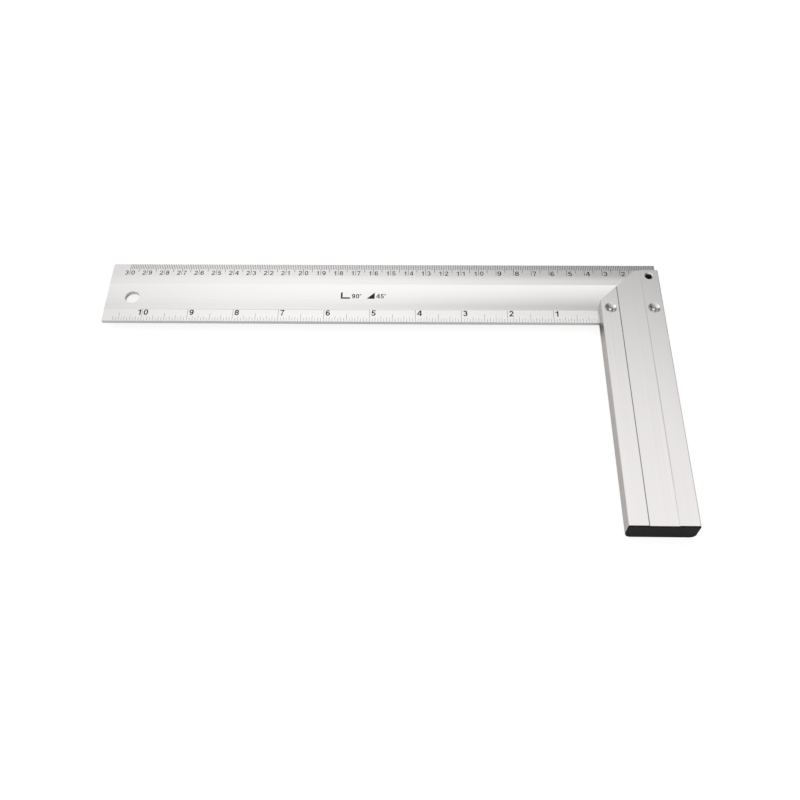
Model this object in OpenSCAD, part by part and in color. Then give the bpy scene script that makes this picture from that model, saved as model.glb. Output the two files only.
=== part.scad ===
// Fixed try and mitre square: a graduated rule let into a hollow stock.
//
// Frame: the origin is the inner corner, where the rule's inner edge meets the
// stock's inner face, in the rule's mid-plane.
// +X runs from the inner face through the stock, so the rule points to -X.
// +Y runs towards the rule's outer edge, so the stock points to -Y.
// +Z is up when the square lies on the stock's rounded back.
// All lengths are in millimetres.

/* [Blade] */
// Overall length, from the stock's outer face to the free end
blade_len = 310; // [260:1:420]
// Width across the two graduated edges
blade_w = 40.5; // [38:0.5:44]
// Thickness at the two edges
blade_edge_t = 2.4; // [2:0.1:2.5]
// Rise of the flat band above the edge, on each side
blade_crown = 0.32; // [0.1:0.02:0.32]
// Width of the sloping strip along the outer edge
bevel_w = 9.5; // [7:0.5:10]
// Distance from the outer edge to the start of the shallow channel
channel_from = 14.5; // [13:0.5:15]
// Distance from the outer edge to the end of the shallow channel
channel_to = 30; // [28:0.5:30]
// Radius of the channel's floor
channel_r = 150; // [120:5:250]
// Distance from the outer edge to the small step beside the inner strip
step_at = 32.4; // [31.5:0.1:33]
// Break on the long edges
edge_break = 0.15; // [0.1:0.05:0.3]

/* [Hanging hole] */
// Diameter of the hanging hole
hang_d = 8; // [5:0.5:9]
// Distance from the free end to the hole's centre
hang_from_end = 14.5; // [10:0.5:30]
// Distance from the outer edge to the hole's centre
hang_from_outer = 24; // [20:0.5:26]

/* [Stock] */
// Width from the inner face to the outer face
stock_w = 34; // [32:0.5:38]
// Thickness from the back to the front
stock_t = 12.2; // [12:0.1:15]
// Length of the metal section
stock_len = 155; // [120:0.5:200]
// How far the blade stands past the stock's square end
stock_drop = 7.3; // [6:0.1:10]
// Leg of the 45 degree mitre at the inner corner of the end
mitre_leg = 21.3; // [15:0.1:22]
// Radius of the two long back edges
back_r = 3; // [1.5:0.1:3.2]
// Radius of the two long front edges
front_r = 0.4; // [0.2:0.1:0.6]
// Width of the raised land along each side of the front
land_w = 9.8; // [9:0.1:10.5]
// Depth of the sunk centre panel
panel_sink = 0.45; // [0.2:0.05:0.6]
// Wall thickness of the front and the back
face_wall = 1.7; // [1.6:0.1:1.8]
// Wall thickness of the two sides
side_wall = 1.8; // [1.5:0.1:2]
// Thickness of the two inner webs beside the blade
web_t = 1.4; // [1.2:0.1:1.4]
// Clearance over the blade's flat bands, each side
slot_gap = 0.03; // [0.02:0.01:0.06]
// Clearance below the blade's inner edge, at the bottom of the slot
slot_foot_gap = 0.2; // [0.05:0.05:0.4]

/* [Rivets] */
// Distance from each side face to the rivet's axis
rivet_inset = 5.2; // [4.8:0.1:6]
// Height of the rivets above the blade's inner edge
rivet_up = 6.8; // [4.5:0.1:7]
// Diameter of the shank
rivet_d = 4; // [3.4:0.1:4]
// Diameter of the countersink at the stock's face
sink_d = 6.7; // [6:0.1:7]
// Depth of the rivet's rim below the stock's face
rim_drop = 0.12; // [0.05:0.01:0.2]
// Depth of the dished mouth below the rim
dish_depth = 1.35; // [1.2:0.05:1.45]

/* [Corner hole] */
// Diameter of the open hole near the outer corner
corner_d = 3.9; // [3:0.1:4]
// Chamfer at both mouths of that hole
corner_break = 0.5; // [0.1:0.05:0.7]
// Distance from the outer face to the hole's axis
corner_inset = 5.4; // [4.8:0.1:6]
// Distance from the stock's square end to the hole's axis
corner_drop = 4.1; // [4:0.1:6]

/* [End cap] */
// Thickness of the flange
cap_flange = 0.8; // [0.5:0.1:2]
// How far the flange stays inside the stock's outline
cap_inset = 0.1; // [0.05:0.05:0.3]
// Break on the flange's outer rim
cap_break = 0.3; // [0.1:0.1:0.4]
// Length of the tongues inside the stock
plug_len = 14; // [8:1:25]
// Clearance around each tongue
plug_gap = 0.12; // [0.05:0.01:0.2]
// Height of the crush ribs on the tongues
rib_h = 0.1; // [0.02:0.01:0.1]

/* [Hidden] */

e = 0.01;
big = 50;

// blade: half thicknesses and stations, measured across the blade as y
edge_h = blade_edge_t / 2;
crown_h = edge_h + blade_crown;
y_bevel = blade_w - bevel_w;
y_ch_a = blade_w - channel_from;
y_ch_b = blade_w - channel_to;
y_step = blade_w - step_at;
ch_low_h = crown_h - 0.12;
lip_h = crown_h - 0.02;
foot_h = edge_h - 0.04;
blade_x0 = stock_w - blade_len;

// channel floor: the circle through the channel's two rims
ch_dy = y_ch_a - y_ch_b;
ch_dz = crown_h - ch_low_h;
ch_chord = sqrt(ch_dy * ch_dy + ch_dz * ch_dz);
ch_rise = sqrt(channel_r * channel_r - ch_chord * ch_chord / 4);
ch_cy = (y_ch_a + y_ch_b) / 2 - ch_rise * ch_dz / ch_chord;
ch_cz = (crown_h + ch_low_h) / 2 + ch_rise * ch_dy / ch_chord;

// stock
half_t = stock_t / 2;
y_top = blade_w - stock_drop;
y_end = y_top - stock_len;
slot_h = crown_h + slot_gap;
web_h = slot_h + web_t;
wall_h = half_t - face_wall;
rivet_y = rivet_up;
rivet_x = [rivet_inset, stock_w - rivet_inset];
corner_x = stock_w - corner_inset;
corner_y = y_top - corner_drop;
hole_r = rivet_d / 2 + 0.1;
sink_r = sink_d / 2;

// Upper outline of the blade's cross-section, from the inner to the outer edge.
BLADE_TOP = [
    [0, edge_h - edge_break], [edge_break, edge_h],
    [y_step - 0.2, foot_h], [y_step, lip_h],
    [y_ch_b, ch_low_h], [y_ch_a, crown_h],
    [y_bevel, crown_h],
    [blade_w - edge_break, edge_h], [blade_w, edge_h - edge_break]
];

// Blade bar, the same on both faces, with the shallow channel along each.
module blade_bar() {
    n = len(BLADE_TOP);
    difference() {
        translate([blade_x0, 0, 0])
            rotate([90, 0, 90])
                linear_extrude(height = blade_len)
                    polygon(concat(
                        BLADE_TOP,
                        [for (i = [n - 1:-1:0]) [BLADE_TOP[i][0], -BLADE_TOP[i][1]]]
                    ));
        for (s = [-1, 1])
            translate([blade_x0 - 1, ch_cy, s * ch_cz])
                rotate([0, 90, 0])
                    cylinder(r = channel_r, h = blade_len + 2, $fn = 1440);
    }
}

// Graduated rule, with the hanging hole, the rivet holes and the corner hole.
module blade() {
    color([0.86, 0.87, 0.88])
        difference() {
            blade_bar();
            translate([blade_x0 + hang_from_end, blade_w - hang_from_outer, -5])
                cylinder(d = hang_d, h = 10, $fn = 96);
            for (x = rivet_x)
                translate([x, rivet_y, -5])
                    cylinder(r = hole_r, h = 10, $fn = 64);
            translate([corner_x, corner_y, -5])
                cylinder(d = corner_d, h = 10, $fn = 64);
        }
}

// Rectangle from [x0, z0] to [x1, z1] with corner radii: ra below, rb above.
module soft_rect(x0, z0, x1, z1, ra, rb) {
    union() {
        translate([x0 + ra, z0]) square([x1 - x0 - 2 * ra, ra + e]);
        translate([x0, z0 + ra]) square([x1 - x0, z1 - z0 - ra - rb]);
        translate([x0 + rb, z1 - rb - e]) square([x1 - x0 - 2 * rb, rb + e]);
        for (x = [x0 + ra, x1 - ra])
            translate([x, z0 + ra]) circle(r = ra, $fn = 64);
        for (x = [x0 + rb, x1 - rb])
            translate([x, z1 - rb]) circle(r = rb, $fn = 48);
    }
}

// Outer outline of the stock, drawn in by g all round, with its sunk panel.
module stock_outline(g) {
    difference() {
        soft_rect(g, -half_t + g, stock_w - g, half_t - g,
                  back_r - g / 2, front_r);
        translate([land_w - g, half_t - panel_sink - g])
            square([stock_w - 2 * land_w + 2 * g, 2]);
    }
}

// Extruded stock section: shell, two webs and the chamber between them.
module stock_section() {
    difference() {
        stock_outline(0);
        // front chamber
        soft_rect(side_wall, web_h, stock_w - side_wall, wall_h, 0.4, 0.4);
        // back chamber
        soft_rect(side_wall, -wall_h, stock_w - side_wall, -web_h, 0.4, 0.4);
        // blade chamber
        translate([side_wall, -slot_h])
            square([stock_w - 2 * side_wall, 2 * slot_h]);
    }
}

// Stock: mitred and slotted for the blade, with countersunk rivet holes.
module handle() {
    color([0.80, 0.80, 0.80])
        difference() {
            translate([0, y_top, 0])
                rotate([90, 0, 0])
                    linear_extrude(height = stock_len)
                        stock_section();
            // 45 degree mitre
            translate([0, 0, -10])
                linear_extrude(height = 20)
                    polygon([
                        [-1, y_top - mitre_leg - 1],
                        [mitre_leg + 1, y_top + 1],
                        [-1, y_top + 1]
                    ]);
            // slot for the blade, open at the square end
            translate([-1, -slot_foot_gap, -slot_h])
                cube([stock_w + 2, y_top + slot_foot_gap + 1, 2 * slot_h]);
            // rivet holes with a countersink through each face wall
            for (x = rivet_x) {
                translate([x, rivet_y, -10])
                    cylinder(r = hole_r, h = 20, $fn = 64);
                for (s = [0, 1])
                    translate([x, rivet_y, 0])
                        mirror([0, 0, s])
                            translate([0, 0, wall_h - e])
                                cylinder(r1 = hole_r, r2 = sink_r,
                                         h = face_wall + 2 * e, $fn = 64);
            }
            // open corner hole
            translate([corner_x, corner_y, -10])
                cylinder(d = corner_d, h = 20, $fn = 64);
            for (s = [0, 1])
                translate([corner_x, corner_y, 0])
                    mirror([0, 0, s])
                        translate([0, 0, half_t - corner_break])
                            cylinder(r1 = corner_d / 2,
                                     r2 = corner_d / 2 + 2 * corner_break,
                                     h = 2 * corner_break, $fn = 64);
        }
}

// Rivet with a dished mouth at both ends and a low dome in its centre.
module rivet_body() {
    zr = half_t - rim_drop;
    // the flared mouth follows the countersink with a small gap
    slope = (sink_r - hole_r) / face_wall;
    r_rim = hole_r + slope * (zr - wall_h) - 0.05;
    r_seat = rivet_d / 2;
    z_seat = wall_h + (r_seat + 0.05 - hole_r) / slope;
    z_dish = zr - dish_depth;
    mouth = [
        [r_rim, zr], [r_rim - 0.15, zr],
        [1.65, z_dish + 0.35], [1.45, z_dish + 0.03],
        [1.35, z_dish], [1.1, z_dish + 0.02],
        [0.85, z_dish + 0.15], [0.4, z_dish + 0.34], [0, z_dish + 0.4]
    ];
    n = len(mouth);
    rotate_extrude($fn = 64)
        polygon(concat(
            [for (i = [n - 1:-1:0]) [mouth[i][0], -mouth[i][1]]],
            [[r_seat, -max(z_seat, web_h + 0.1)],
             [r_seat, max(z_seat, web_h + 0.1)]],
            mouth
        ));
}

// Rivet beside the inner face.
module rivet_inner() {
    color([0.75, 0.75, 0.76])
        translate([rivet_x[0], rivet_y, 0]) rivet_body();
}

// Rivet beside the outer face.
module rivet_outer() {
    color([0.75, 0.75, 0.76])
        translate([rivet_x[1], rivet_y, 0]) rivet_body();
}

// One tongue of the cap, filling a chamber from z0 to z1, with crush ribs.
module tongue(z0, z1) {
    x0 = side_wall + plug_gap;
    x1 = stock_w - side_wall - plug_gap;
    translate([x0, y_end - e, z0 + plug_gap])
        cube([x1 - x0, plug_len, z1 - z0 - 2 * plug_gap]);
    for (k = [0.15, 0.5, 0.85])
        translate([x0 + k * (x1 - x0) - 0.4, y_end - e, z0 + plug_gap - rib_h])
            cube([0.8, plug_len - 3, z1 - z0 - 2 * plug_gap + 2 * rib_h]);
}

// Pressed-in plastic cap that closes the stock's free end.
module end_cap() {
    color([0.13, 0.13, 0.13])
        union() {
            // flange, with its rim broken at the outside
            translate([0, y_end, 0])
                rotate([90, 0, 0])
                    linear_extrude(height = cap_flange - cap_break)
                        stock_outline(cap_inset);
            translate([0, y_end - cap_flange + cap_break + e, 0])
                rotate([90, 0, 0])
                    linear_extrude(height = cap_break + e)
                        stock_outline(cap_inset + cap_break * 0.6);
            tongue(web_h, wall_h - 0);
            tongue(-wall_h, -web_h);
            tongue(-slot_h, slot_h);
        }
}

blade();
handle();
end_cap();
rivet_inner();
rivet_outer();
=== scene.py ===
import math
import bmesh
import bpy
from mathutils import Matrix, Vector, Quaternion


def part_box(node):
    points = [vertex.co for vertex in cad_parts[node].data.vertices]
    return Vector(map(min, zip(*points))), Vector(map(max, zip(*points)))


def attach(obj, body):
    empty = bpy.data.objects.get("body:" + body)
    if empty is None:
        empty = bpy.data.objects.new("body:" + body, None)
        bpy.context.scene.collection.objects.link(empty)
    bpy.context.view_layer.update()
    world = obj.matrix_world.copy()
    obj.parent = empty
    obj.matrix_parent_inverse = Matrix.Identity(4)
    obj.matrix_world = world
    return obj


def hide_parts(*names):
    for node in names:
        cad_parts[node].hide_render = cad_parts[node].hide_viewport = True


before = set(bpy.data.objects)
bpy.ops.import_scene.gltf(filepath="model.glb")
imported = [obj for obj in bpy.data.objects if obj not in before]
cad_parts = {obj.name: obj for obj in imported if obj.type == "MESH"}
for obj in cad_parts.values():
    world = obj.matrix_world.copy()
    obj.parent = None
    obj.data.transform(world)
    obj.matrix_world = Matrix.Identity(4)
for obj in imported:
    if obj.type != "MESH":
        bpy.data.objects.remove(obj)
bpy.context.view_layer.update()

MM = 0.001

# ---------------------------------------------------------------------------
# Sizes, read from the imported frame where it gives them, in millimetres
# ---------------------------------------------------------------------------
b_lo, b_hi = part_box("blade")
h_lo, h_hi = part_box("handle")
c_lo, c_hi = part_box("end_cap")
ri_lo, ri_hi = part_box("rivet_inner")
ro_lo, ro_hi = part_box("rivet_outer")


def mm(v):
    return round(v * 1000.0, 3)


BX0, BX1 = mm(b_lo.x), mm(b_hi.x)          # free end, end flush with the stock
BW = mm(b_hi.y)                            # width across the edges
CROWN = mm(b_hi.z)                         # half thickness at the flat band
SW = mm(h_hi.x)                            # stock width
ST = mm(h_hi.z) * 2                        # stock thickness
YTOP, YEND = mm(h_hi.y), mm(h_lo.y)
HALF = ST / 2
EDGE = CROWN - 0.32                        # half thickness at the edges
MITRE = 21.3
PANEL = 0.45
LAND = 9.8
BACK_R, FRONT_R = 3.0, 0.4
SIDE_WALL, FACE_WALL, WEB_T = 1.8, 1.7, 1.4
SLOT_H = CROWN + 0.03
WEB_H = SLOT_H + WEB_T
WALL_H = HALF - FACE_WALL
RIV_Y = mm((ri_lo.y + ri_hi.y) / 2)
RIV_X = [mm((ri_lo.x + ri_hi.x) / 2), mm((ro_lo.x + ro_hi.x) / 2)]
RIV_TOP = mm(ri_hi.z)
CAP_Y = mm(c_lo.y)                         # outer face of the cap
HANG = (BX0 + 14.5, BW - 24.0, 4.0)
CORNER = (SW - 5.4, YTOP - 4.1, 1.95)
CORNER_BREAK = 0.5
# top of the painted shade on the corner hole's wall, below its chamfer
CORNER_SHADE_TOP = HALF - CORNER_BREAK - 0.45
HOLE_R, SINK_R = 2.1, 3.35


# ---------------------------------------------------------------------------
# Mesh helpers
# ---------------------------------------------------------------------------
def new_object(name, mesh):
    o = bpy.data.objects.new(name, mesh)
    bpy.context.scene.collection.objects.link(o)
    return o


def mesh_from_bm(name, bm, sharp_deg=28.0):
    bmesh.ops.recalc_face_normals(bm, faces=bm.faces)
    lim = math.radians(sharp_deg)
    for f in bm.faces:
        f.smooth = True
    for e in bm.edges:
        if len(e.link_faces) == 2:
            e.smooth = e.calc_face_angle(0.0) < lim
        else:
            e.smooth = False
    m = bpy.data.meshes.new(name)
    bm.to_mesh(m)
    bm.free()
    m.update()
    return m


def prism(loop, p0, direction, length):
    """A closed prism. loop is a list of 3-D points in mm, in one plane."""
    bm = bmesh.new()
    d = Vector(direction) * length * MM
    a = [bm.verts.new(Vector(p) * MM + Vector(p0) * MM) for p in loop]
    b = [bm.verts.new(v.co + d) for v in a]
    n = len(a)
    bm.faces.new(a)
    bm.faces.new(list(reversed(b)))
    for i in range(n):
        j = (i + 1) % n
        bm.faces.new((a[j], a[i], b[i], b[j]))
    bmesh.ops.recalc_face_normals(bm, faces=bm.faces)
    return bm


def arc(cx, cy, r, a0, a1, n):
    return [
        (cx + r * math.cos(math.radians(a0 + (a1 - a0) * i / n)),
         cy + r * math.sin(math.radians(a0 + (a1 - a0) * i / n)))
        for i in range(n + 1)
    ]


def lathe(profile, centre, n=96, name="lathe"):
    """Closed solid of revolution about +Z. profile: [(r, z), ...] from bottom axis to top axis, mm."""
    bm = bmesh.new()
    rings = []
    for r, z in profile:
        if r < 1e-6:
            rings.append([bm.verts.new(Vector((centre[0], centre[1], centre[2] + z)) * MM)])
        else:
            rings.append([
                bm.verts.new(Vector((centre[0] + r * math.cos(2 * math.pi * i / n),
                                     centre[1] + r * math.sin(2 * math.pi * i / n),
                                     centre[2] + z)) * MM)
                for i in range(n)
            ])
    for a, b in zip(rings, rings[1:]):
        for i in range(n):
            j = (i + 1) % n
            if len(a) == 1 and len(b) == 1:
                continue
            if len(a) == 1:
                bm.faces.new((a[0], b[i], b[j]))
            elif len(b) == 1:
                bm.faces.new((a[i], a[j], b[0]))
            else:
                bm.faces.new((a[i], a[j], b[j], b[i]))
    return bm


def boolean(target, cutter_bm, op="DIFFERENCE"):
    m = bpy.data.meshes.new("cutter")
    bmesh.ops.recalc_face_normals(cutter_bm, faces=cutter_bm.faces)
    cutter_bm.to_mesh(m)
    cutter_bm.free()
    c = new_object("cutter", m)
    mod = target.modifiers.new("bool", "BOOLEAN")
    mod.operation = op
    mod.solver = "EXACT"
    mod.object = c
    apply_modifiers(target)
    bpy.data.objects.remove(c)
    bpy.data.meshes.remove(m)


def apply_modifiers(o):
    dg = bpy.context.evaluated_depsgraph_get()
    new = bpy.data.meshes.new_from_object(o.evaluated_get(dg))
    old = o.data
    o.modifiers.clear()
    o.data = new
    bpy.data.meshes.remove(old)


def tidy(o, sharp_deg=28.0):
    """Merges doubled points and dissolves degenerate faces left by the cuts."""
    bm = bmesh.new()
    bm.from_mesh(o.data)
    bmesh.ops.remove_doubles(bm, verts=bm.verts, dist=1e-7)
    bmesh.ops.dissolve_degenerate(bm, edges=bm.edges, dist=1e-7)
    m = mesh_from_bm(o.name, bm, sharp_deg)
    old = o.data
    o.data = m
    bpy.data.meshes.remove(old)


def soften(o, width_mm, segments=2, angle=30.0):
    """Breaks every sharp edge of a piece by a small round."""
    mod = o.modifiers.new("edge_break", "BEVEL")
    mod.width = width_mm * MM
    mod.segments = segments
    mod.limit_method = "ANGLE"
    mod.angle_limit = math.radians(angle)
    mod.use_clamp_overlap = True
    mod.harden_normals = False
    mod.miter_outer = "MITER_ARC"
    apply_modifiers(o)
    tidy(o, 40.0)


# ---------------------------------------------------------------------------
# Blade
# ---------------------------------------------------------------------------
Y_BEVEL = BW - 9.5
Y_CH_A = BW - 14.5
Y_CH_B = BW - 30.0
Y_STEP = BW - 32.4
CH_LOW = CROWN - 0.12
LIP = CROWN - 0.02
FOOT = EDGE - 0.04
CH_R = 150.0
SWEEP = 2.1        # the flat band turns gently into the sloping strip, over this much on each side

_dy, _dz = Y_CH_A - Y_CH_B, CROWN - CH_LOW
_ch = math.hypot(_dy, _dz)
_rise = math.sqrt(CH_R ** 2 - _ch ** 2 / 4)
CH_CY = (Y_CH_A + Y_CH_B) / 2 - _rise * _dz / _ch
CH_CZ = (CROWN + CH_LOW) / 2 + _rise * _dy / _ch


def blade_top(y):
    """Height of the blade's upper face above its mid-plane at y, in mm."""
    if y >= Y_BEVEL + SWEEP:
        return EDGE + (CROWN - EDGE) * (BW - y) / (BW - Y_BEVEL)
    if y >= Y_BEVEL - SWEEP:
        return CROWN - (CROWN - EDGE) / (BW - Y_BEVEL) * (y - Y_BEVEL + SWEEP) ** 2 / (4 * SWEEP)
    if y >= Y_CH_A:
        return CROWN
    if y >= Y_CH_B:
        return CH_CZ - math.sqrt(CH_R ** 2 - (y - CH_CY) ** 2)
    if y >= Y_STEP:
        return CH_LOW + (LIP - CH_LOW) * (Y_CH_B - y) / (Y_CH_B - Y_STEP)
    if y >= Y_STEP - 0.2:
        return FOOT + (LIP - FOOT) * (y - Y_STEP + 0.2) / 0.2
    return EDGE + (FOOT - EDGE) * y / (Y_STEP - 0.2)


def blade_profile():
    br = 0.16
    top = [(0.0, EDGE - br)]
    top += arc(br, EDGE - br, br, 180, 90, 4)[1:]
    top += [(Y_STEP - 0.26, FOOT), (Y_STEP - 0.2, FOOT + 0.012), (Y_STEP - 0.15, FOOT + 0.05),
            (Y_STEP - 0.03, LIP - 0.045), (Y_STEP, LIP - 0.012), (Y_STEP + 0.05, blade_top(Y_STEP + 0.05))]
    for i in range(33):
        y = Y_CH_B + (Y_CH_A - Y_CH_B) * i / 32
        top.append((y, blade_top(y)))
    top.insert(len(top) - 1, (Y_CH_A - 0.12, blade_top(Y_CH_A - 0.12)))
    top[-1] = (Y_CH_A + 0.03, CROWN)
    for i in range(15):
        y = Y_BEVEL - SWEEP + 2 * SWEEP * i / 14
        top.append((y, blade_top(y)))
    top += arc(BW - br, EDGE - br, br, 90, 0, 4)
    loop = top + [(y, -z) for y, z in reversed(top)]
    return loop


def build_blade():
    loop = [(BX0, y, z) for y, z in blade_profile()]
    bm = prism(loop, (0, 0, 0), (1, 0, 0), BX1 - BX0)
    o = new_object("blade_rule", mesh_from_bm("blade_rule", bm))
    boolean(o, cylinder_bm(HANG[0], HANG[1], HANG[2], -5, 5, 128))
    for x in RIV_X:
        boolean(o, cylinder_bm(x, RIV_Y, HOLE_R, -5, 5, 64))
    boolean(o, cylinder_bm(CORNER[0], CORNER[1], CORNER[2], -5, 5, 96))
    tidy(o)
    soften(o, 0.12, 2, 35.0)
    return o


def cylinder_bm(x, y, r, z0, z1, n=64, r2=None):
    r2 = r if r2 is None else r2
    return lathe([(0, z0), (r, z0), (r2, z1), (0, z1)], (x, y, 0), n)


# ---------------------------------------------------------------------------
# Stock
# ---------------------------------------------------------------------------
def stock_loop(g=0.0):
    """Outline of the stock in (x, z), anticlockwise from the lower left, drawn in by g."""
    rb = BACK_R - g / 2
    rf = FRONT_R
    x0, x1, z0, z1 = g, SW - g, -HALF + g, HALF - g
    p0, p1 = LAND - g, SW - LAND + g
    zs = z1 - PANEL
    pts = []
    pts += arc(x0 + rb, z0 + rb, rb, 180, 270, 14)
    pts += arc(x1 - rb, z0 + rb, rb, 270, 360, 14)
    pts += arc(x1 - rf, z1 - rf, rf, 0, 90, 6)
    # sides of the panel: rounded at the land, sloping, with a fillet in the floor
    wall = [(-0.26, 0.0), (-0.19, 0.006), (-0.12, 0.028), (0.17, 0.222), (0.235, 0.29),
            (0.27, 0.375), (0.3, 0.425), (0.36, PANEL)]
    pts += [(p1 - dx, z1 - dz) for dx, dz in wall]
    pts += [(p0 + dx, z1 - dz) for dx, dz in reversed(wall)]
    pts += arc(x0 + rf, z1 - rf, rf, 90, 180, 6)
    return pts


def soft_loop(x0, z0, x1, z1, r):
    return (arc(x0 + r, z0 + r, r, 180, 270, 4) + arc(x1 - r, z0 + r, r, 270, 360, 4)
            + arc(x1 - r, z1 - r, r, 0, 90, 4) + arc(x0 + r, z1 - r, r, 90, 180, 4))


def along_y(loop2, y0, y1):
    """Prism of an (x, z) loop from y0 to y1."""
    return prism([(x, y0, z) for x, z in loop2], (0, 0, 0), (0, 1, 0), y1 - y0)


def along_z(loop2, z0, z1):
    return prism([(x, y, z0) for x, y in loop2], (0, 0, 0), (0, 0, 1), z1 - z0)


def build_handle():
    bm = along_y(stock_loop(), YEND, YTOP)
    o = new_object("stock_body", mesh_from_bm("stock_body", bm))
    boolean(o, along_y(soft_loop(SIDE_WALL, WEB_H, SW - SIDE_WALL, WALL_H, 0.4), YEND - 5, YTOP + 5))
    boolean(o, along_y(soft_loop(SIDE_WALL, -WALL_H, SW - SIDE_WALL, -WEB_H, 0.4), YEND - 5, YTOP + 5))
    boolean(o, along_y([(SIDE_WALL, -SLOT_H), (SW - SIDE_WALL, -SLOT_H),
                        (SW - SIDE_WALL, SLOT_H), (SIDE_WALL, SLOT_H)], YEND - 6, YTOP + 6))
    boolean(o, along_z([(-1, YTOP - MITRE - 1), (MITRE + 1, YTOP + 1), (-1, YTOP + 1)], -10, 10))
    s = SLOT_H
    boolean(o, prism([(-1, -0.2, -s), (-1, YTOP + 2, -s), (-1, YTOP + 2, s), (-1, -0.2, s)],
                     (0, 0, 0), (1, 0, 0), SW + 2))
    slope = (SINK_R - HOLE_R) / FACE_WALL
    for x in RIV_X:
        for sg in (1, -1):
            prof = [(0, WEB_H - 2.2), (HOLE_R, WEB_H - 2.2), (HOLE_R, WALL_H),
                    (SINK_R + slope * 0.5, HALF + 0.5), (0, HALF + 0.5)]
            if sg < 0:
                prof = [(r, -z) for r, z in reversed(prof)]
            boolean(o, lathe(prof, (x, RIV_Y, 0), 96))
    r, k = CORNER[2], CORNER_BREAK
    prof = [(0, -HALF - k), (r + 2 * k, -HALF - k), (r, -HALF + k), (r, HALF - k), (r + 2 * k, HALF + k), (0, HALF + k)]
    boolean(o, lathe(prof, (CORNER[0], CORNER[1], 0), 96))
    tidy(o)
    soften(o, 0.13, 2, 38.0)
    return o


# ---------------------------------------------------------------------------
# Rivets
# ---------------------------------------------------------------------------
def rivet_profile():
    zr = RIV_TOP
    slope = (SINK_R - HOLE_R) / FACE_WALL
    r_rim = HOLE_R + slope * (zr - WALL_H) - 0.05
    r_seat = 2.0
    z_seat = WALL_H + (r_seat + 0.05 - HOLE_R) / slope
    up = [(r_seat, 0.0), (r_seat, z_seat - 0.05), (r_seat + 0.03, z_seat + 0.03)]
    up += [(r_rim - 0.03, zr - 0.06), (r_rim - 0.01, zr - 0.02), (r_rim - 0.05, zr)]
    up += [(r_rim - 0.12, zr), (r_rim - 0.16, zr - 0.012), (r_rim - 0.2, zr - 0.05)]
    # conical mouth, rounded valley and a low dome, through these stations
    knots = [(r_rim - 0.2, zr - 0.05), (2.6, zr - 0.36), (2.1, zr - 0.70), (1.72, zr - 0.96), (1.56, zr - 1.15),
             (1.43, zr - 1.30), (1.28, zr - 1.35), (1.1, zr - 1.32), (0.85, zr - 1.20), (0.6, zr - 1.075),
             (0.3, zr - 0.98), (0.0, zr - 0.95)]
    up += spline(knots, 5)[1:]
    down = [(r, -z) for r, z in reversed(up[1:])]
    return down + up


def spline(pts, k):
    """Smooth curve through pts (Catmull-Rom), k steps per span."""
    out = [pts[0]]
    n = len(pts)
    for i in range(n - 1):
        p0, p1, p2, p3 = pts[max(i - 1, 0)], pts[i], pts[i + 1], pts[min(i + 2, n - 1)]
        for j in range(1, k + 1):
            t = j / k
            out.append(tuple(
                0.5 * (2 * p1[c] + (p2[c] - p0[c]) * t + (2 * p0[c] - 5 * p1[c] + 4 * p2[c] - p3[c]) * t * t
                       + (3 * p1[c] - p0[c] - 3 * p2[c] + p3[c]) * t ** 3)
                for c in (0, 1)))
    out[-1] = pts[-1]
    return out


def build_rivet(name, x):
    bm = lathe(rivet_profile(), (x, RIV_Y, 0), 96)
    return new_object(name, mesh_from_bm(name, bm, 50.0))


# ---------------------------------------------------------------------------
# End cap
# ---------------------------------------------------------------------------
def build_cap():
    g = 0.1
    t = YEND - CAP_Y
    loop = stock_loop(g)
    n = len(loop)
    bm = bmesh.new()
    # rim: rings from the inner side of the flange to its outer face, rounded
    cx, cz = SW / 2, 0.0
    steps = [(0.0, 0.0)]
    r = 0.3
    for i in range(0, 7):
        a = math.radians(90 * i / 6)
        steps.append((t - r + r * math.sin(a), r * (1 - math.cos(a)) * 0.75))
    rings = []
    for depth, inset in steps:
        ring = []
        lp = stock_loop(g + inset)
        for x, z in lp:
            ring.append(bm.verts.new(Vector((x, YEND - depth, z)) * MM))
        rings.append(ring)
    bm.faces.new(rings[0])
    for a, b in zip(rings, rings[1:]):
        for i in range(n):
            j = (i + 1) % n
            bm.faces.new((a[i], a[j], b[j], b[i]))
    bm.faces.new(list(reversed(rings[-1])))
    o = new_object("cap_flange", mesh_from_bm("cap_flange", bm, 35.0))
    gap = 0.12
    x0, x1 = SIDE_WALL + gap, SW - SIDE_WALL - gap
    depth = mm(c_hi.y) - YEND
    for z0, z1 in ((WEB_H, WALL_H), (-WALL_H, -WEB_H), (-SLOT_H, SLOT_H)):
        zz0, zz1 = z0 + gap, z1 - gap
        # tongue with a tapered lead-in
        lp = [(YEND - 0.3, zz0), (YEND + depth - 1.2, zz0), (YEND + depth, zz0 + 0.25),
              (YEND + depth, zz1 - 0.25), (YEND + depth - 1.2, zz1), (YEND - 0.3, zz1)]
        boolean(o, prism([(x0, y, z) for y, z in lp], (0, 0, 0), (1, 0, 0), x1 - x0), "UNION")
        for k in (0.15, 0.5, 0.85):
            xc = x0 + k * (x1 - x0)
            rz0, rz1 = zz0 - 0.08, zz1 + 0.08
            lp = [(YEND - 0.2, rz0), (YEND + depth - 4.0, rz0), (YEND + depth - 3.2, zz0 + 0.05),
                  (YEND + depth - 3.2, zz1 - 0.05), (YEND + depth - 4.0, rz1), (YEND - 0.2, rz1)]
            boolean(o, prism([(xc - 0.4, y, z) for y, z in lp], (0, 0, 0), (1, 0, 0), 0.8), "UNION")
    tidy(o, 35.0)
    return o


# ---------------------------------------------------------------------------
# Printed scales: thin closed marks that follow the blade's upper face
# ---------------------------------------------------------------------------
INK_UP, INK_DOWN = 0.012, 0.02
INK_BREAKS = [Y_BEVEL, Y_BEVEL + SWEEP / 2, Y_BEVEL + SWEEP, Y_CH_A, Y_CH_B, Y_STEP, Y_STEP - 0.2]


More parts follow.
